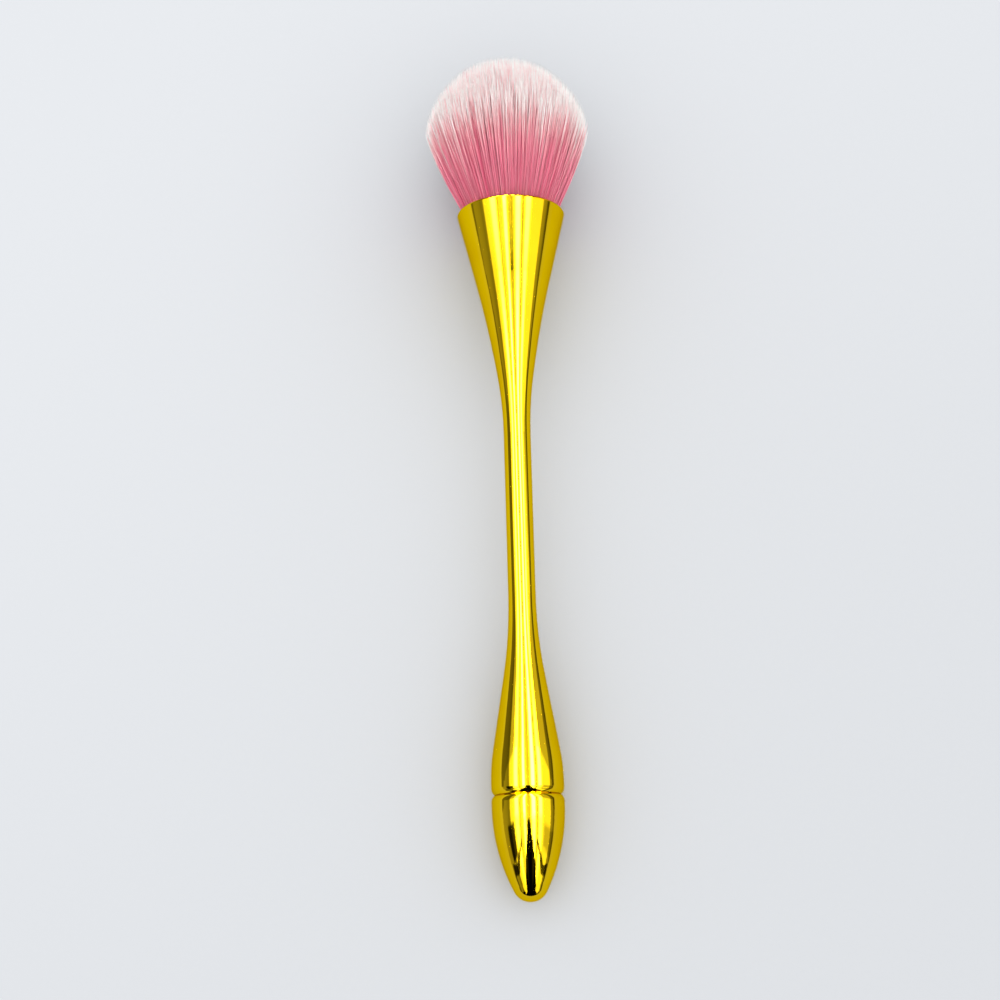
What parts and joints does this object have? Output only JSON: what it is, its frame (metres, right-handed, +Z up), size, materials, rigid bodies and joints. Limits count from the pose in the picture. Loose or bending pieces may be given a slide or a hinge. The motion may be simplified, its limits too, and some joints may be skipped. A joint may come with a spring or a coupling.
{
  "type": "nail dust brush",
  "caption": "Soft round-headed nail dust brush with a goblet-shaped cup, slim straight waist and bullet tail, lying on its belly and flattened bristles.",
  "frame": {"origin": "middle of the brush's footprint, on the surface that it lies on", "axes": "+Y from the tail towards the tuft, +Z up from the surface, +X to the right seen from the tail; the brush's own axis lies in the YZ plane and rises 3.4 degrees towards the tuft"},
  "size_m": [0.0324, 0.1654, 0.0309],
  "materials": {
    "plated_shell": "polished",
    "adhesive": "gloss",
    "potting": "gloss",
    "thread": "matte",
    "bristles": "matte"
  },
  "bodies": {
    "handle": {"handle_body": "plated_shell", "tail_cap": "plated_shell", "tail_cap_adhesive": "adhesive", "cup_adhesive": "adhesive", "root_plug": "potting", "root_binding": "thread", "bristle_roots": "bristles"},
    "tuft": {"bristle_tuft": "bristles"}
  },
  "joints": [
    {"name": "bristle_sweep", "type": "hinge", "parent": "handle", "child": "tuft", "pos_m": [0, 0.05105, 0.01368], "axis": [0, 0, 1], "range_deg": [-30, 30], "stiffness_Nm_per_rad": 0.02}
  ]
}
